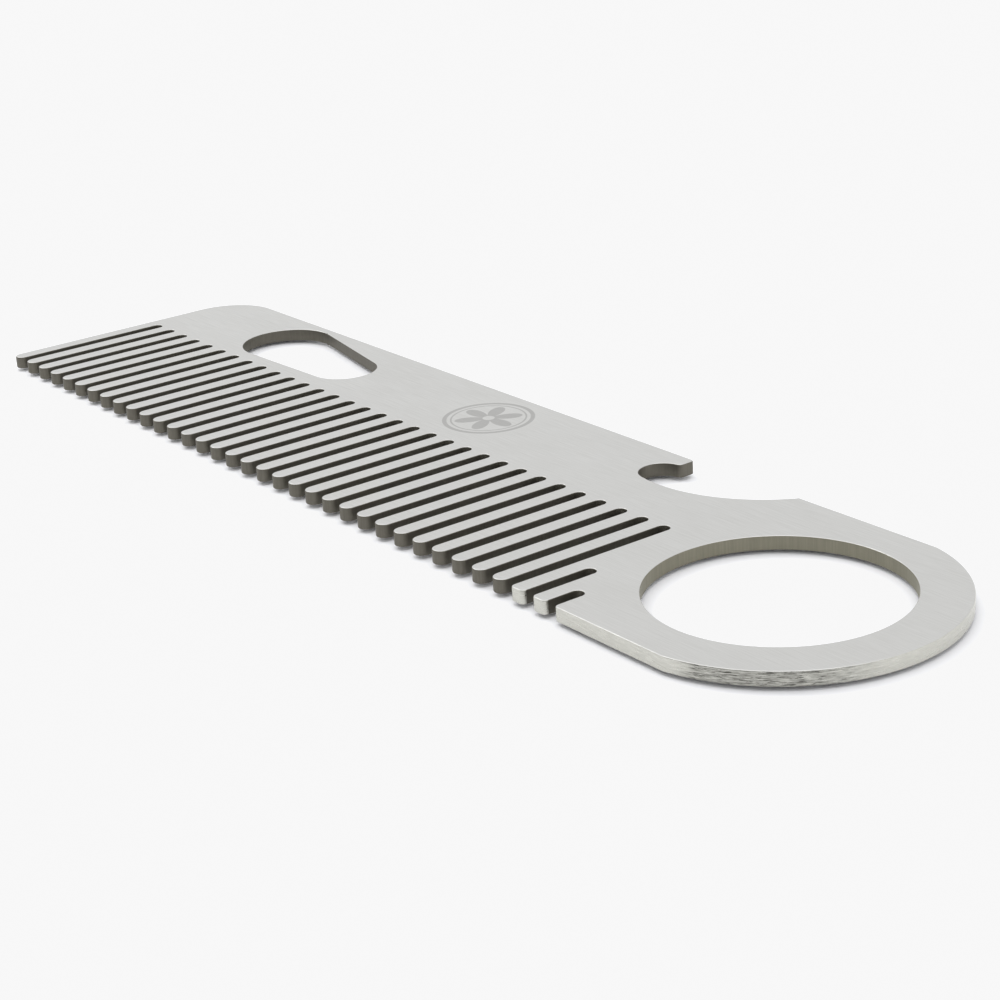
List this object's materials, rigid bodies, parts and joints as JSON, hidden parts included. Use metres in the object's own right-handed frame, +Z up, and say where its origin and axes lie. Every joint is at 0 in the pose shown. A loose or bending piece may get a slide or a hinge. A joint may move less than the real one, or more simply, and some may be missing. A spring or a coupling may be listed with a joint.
{
  "type": "beard comb",
  "caption": "Flat steel beard comb with a finger ring at one end, a bottle-opener notch in its spine and a hanging hole.",
  "frame": {"origin": "under the middle of the plate, on the surface it lies on", "axes": "+X along the plate towards the finger ring, +Y across it towards the spine's back edge with the teeth pointing to -Y, +Z up through its thickness"},
  "size_m": [0.1406, 0.0346, 0.0015],
  "materials": {
    "steel": "brushed stainless steel, fine grain along the plate"
  },
  "bodies": {
    "root": {"comb_plate": "steel"}
  },
  "joints": []
}
